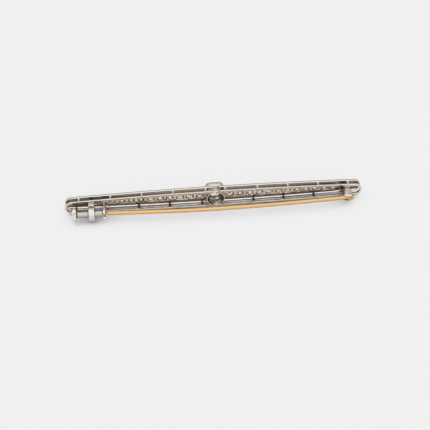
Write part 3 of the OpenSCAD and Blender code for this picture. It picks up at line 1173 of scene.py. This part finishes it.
# Openings behind the stones: sawn and cut with a graver, so single flats glint, and their hollows
# darken with dirt and painted shade
worn_shaded_platinum = platinum("pierced_platinum", "#DDD1C2", "#7D6A5A", 1.0, (0.25, 0.9), 0.12)
# Back of the sheet beside the stones, inside the gallery: painted greyer and darker than the front,
# as the shade in there, over some dirt
shaded_sheet_platinum = platinum("shaded_platinum_sheet", "#ADA195", "#5A4C40", 1.0, (0.2, 0.8))
# Lower posts and the backs of the ends: painted dark brown, as the shade that they stand in inside
# the gallery
shaded_dull_platinum = platinum("shade_brown_platinum", "#A08C7A", "#4A2A1C", 1.5, (0.15, 0.75))
# Upper posts: cast, and painted the whitest part, as the light from above that falls on them
lit_cast_platinum = platinum("lit_cast_platinum", "#F0EDE8", "#6A5745", 0.3, (0.0, 0.3))
# Rails: drawn wire, bright along its top and darkened along its foot by dirt and painted shade
wire_platinum = platinum("drawn_platinum_wire", "#CAC6BF", "#4E3A2B", 1.0, (0.2, 0.75))
# Collet: turned on a lathe, so smooth and even, with faint flats from the scraper, and darkened by
# painted shade where it meets other parts
collet_platinum = platinum("turned_platinum", "#D2CCC2", "#6E5B49", 0.5, (0.05, 0.5), 0.02)
# Collar, hook, knob and cheeks: filed to fit, with soft flats that break their highlights, and
# darkened by painted shade where they meet other parts
catch_platinum = platinum("fitted_platinum", "#CFCAC1", "#43362B", 0.9, (0.2, 0.8), 0.05)
# Tube: drawn, with broad lines along it and a worn, greyer tone from sliding, and painted shade
# where it runs into the collar and the hook
tube_platinum = platinum("drawn_platinum_tube", "#B0ABA4", "#33281F", 0.8, (0.15, 0.7), 0.0, 0.6)
gold = yellow_gold()
# Small stones gather grease behind, so they look warmer and hazier than the centre stone
row_stone = diamond("single_cut_diamond", "#FFF9EF", "#DCCBB4", 0.25)
old_cut_stone = diamond("old_brilliant_cut_diamond", "#FFFEFA", "#F0ECE2", 0.12)

# The rails' sections, as (inset from the outline, y, ease). The front one is bevelled behind,
# on its inner side. Two eases overlap there by 0.06 mm, so the outline doubles back, too
# little to see. The back one is a rounded rectangle.
front_section = [
    (0, FRONT_RAIL_FRONT, 0.14),
    (0, FRONT_RAIL_BACK, 0.2),
    (FRONT_RAIL_WALL - FRONT_RAIL_BEVEL, FRONT_RAIL_BACK, 0.08),
    (FRONT_RAIL_WALL, FRONT_RAIL_BACK + FRONT_RAIL_BEVEL, 0.08),
    (FRONT_RAIL_WALL, FRONT_RAIL_FRONT, 0.1),
]
back_section = [
    (0, BACK_RAIL_FRONT, BACK_RAIL_EASE),
    (0, BACK_PLANE, BACK_RAIL_EASE),
    (BACK_RAIL_WALL, BACK_PLANE, BACK_RAIL_EASE),
    (BACK_RAIL_WALL, BACK_RAIL_FRONT, BACK_RAIL_EASE),
]

make("front_rail", [(rail, front_section)], [wire_platinum])
make("back_rail", [(rail, back_section)], [wire_platinum])
make("upper_posts", [(gallery_side, 1), (end_post_and_brace,)], [lit_cast_platinum])
make("lower_posts", [(gallery_side, -1)], [shaded_dull_platinum])
make("end_sheets", [(end_sheets,)], [bright_platinum, shaded_dull_platinum])
make(
    "stone_plates",
    [(stone_plate, -1), (stone_plate, 1)],
    [bright_platinum, worn_shaded_platinum, shaded_sheet_platinum],
)
make("setting_grains", [(grains, -1), (grains, 1)], [bright_platinum])
make("millegrain_edges", [(millegrain, -1), (millegrain, 1)], [bright_platinum])
make("centre_collet", [(collet,)], [collet_platinum])
make("catch_collar", [(collar,)], [catch_platinum])
make("catch_hook", [(hook,)], [catch_platinum])
make("hinge_cheeks", [(hinge_cheeks,)], [catch_platinum])
make("row_diamonds", [(row_diamonds,)], [row_stone], crease=0)
make(
    "centre_stone",
    [(centre_diamond,)],
    [old_cut_stone],
    node="centre_diamond",
    crease=0,
)
make("rivet", [(rivet,)], [bright_platinum], node="hinge_rivet")
make(
    "sliding_tube",
    [(slide,)],
    [tube_platinum, catch_platinum],
    body="slide",
    node="catch_slide",
)
make("pin_stem", [(stem,), (tongue,)], [gold], body="pin", node="pin")

# Studio

floor_mesh = bpy.data.meshes.new("floor")
floor_shape = bmesh.new()
bmesh.ops.create_grid(floor_shape, x_segments=2, y_segments=2, size=1.5)
floor_shape.to_mesh(floor_mesh)
floor_shape.free()
floor_mesh.materials.append(studio_paper())
floor = bpy.data.objects.new("floor", floor_mesh)
bpy.context.scene.collection.objects.link(floor)

# A softbox nearly overhead, a little behind the brooch
SOFTBOX_AT = Vector((0, 0.08, 0.45))
softbox_data = bpy.data.lights.new("overhead_softbox", "AREA")
softbox_data.shape = "RECTANGLE"
softbox_data.size = 0.6
softbox_data.size_y = 0.45
softbox_data.energy = 0.12
softbox = bpy.data.objects.new("overhead_softbox", softbox_data)
bpy.context.scene.collection.objects.link(softbox)
softbox.location = SOFTBOX_AT
softbox.rotation_euler = (-SOFTBOX_AT).to_track_quat("-Z", "Y").to_euler()

# A white room: brightest high up on the camera's side, and dimmest low on the far wall
world = bpy.data.worlds.new("studio")
world.use_nodes = True
sky_tree = world.node_tree
sky_tree.nodes.clear()
sky_coords = add(sky_tree, "ShaderNodeTexCoord", {})
nearness = add(
    sky_tree,
    "ShaderNodeVectorMath",
    {"operation": "DOT_PRODUCT", 1: (0, -0.5, 0.866)},
    {0: (sky_coords, "Generated")},
)
depth = add(
    sky_tree,
    "ShaderNodeMapRange",
    {
        "interpolation_type": "SMOOTHSTEP",
        "From Min": -0.2,
        "From Max": 1.0,
        "To Min": 0.5,
        "To Max": 1.3,
    },
    {"Value": (nearness, "Value")},
)
sky = add(
    sky_tree,
    "ShaderNodeBackground",
    {"Color": linear("#F8F9FB")},
    {"Strength": (depth, "Result")},
)
add(sky_tree, "ShaderNodeOutputWorld", {}, {"Surface": (sky, 0)})
bpy.context.scene.world = world

# The photograph's exposure: darks are deepened, mid tones lifted, and white stays just below full
view = bpy.context.scene.view_settings
view.view_transform = "Standard"
view.use_curve_mapping = True
tone = view.curve_mapping.curves[3]
for level, shown in ((0.25, 0.215), (0.5, 0.575), (0.72, 0.815)):
    tone.points.new(level, shown)
tone.points[-1].location = (1.0, 0.885)
view.curve_mapping.update()

# Camera, at the photograph's angle: the aim is the point of the floor at the frame's centre
CAMERA_TURN = math.radians(8.13)
CAMERA_ELEVATION = math.radians(42.4)
CAMERA_ROLL = math.radians(1.62)
CAMERA_DISTANCE = 209.9 * MM
CAMERA_AIM = Vector((-0.51 * MM, -2.92 * MM, 0))
FRAME_PIXELS = 430
FOCAL_PIXELS = 900.3

camera_data = bpy.data.cameras.new("camera")
camera_data.lens = FOCAL_PIXELS / FRAME_PIXELS * camera_data.sensor_width
camera_data.clip_start = 0.01
camera = bpy.data.objects.new("camera", camera_data)
bpy.context.scene.collection.objects.link(camera)
ahead = Vector(
    (
        math.sin(CAMERA_TURN) * math.cos(CAMERA_ELEVATION),
        math.cos(CAMERA_TURN) * math.cos(CAMERA_ELEVATION),
        -math.sin(CAMERA_ELEVATION),
    )
)
standpoint = Matrix.Translation(CAMERA_AIM - ahead * CAMERA_DISTANCE)
look = ahead.to_track_quat("-Z", "Y").to_matrix().to_4x4()
camera.matrix_world = standpoint @ look @ Matrix.Rotation(CAMERA_ROLL, 4, "Z")
bpy.context.scene.camera = camera
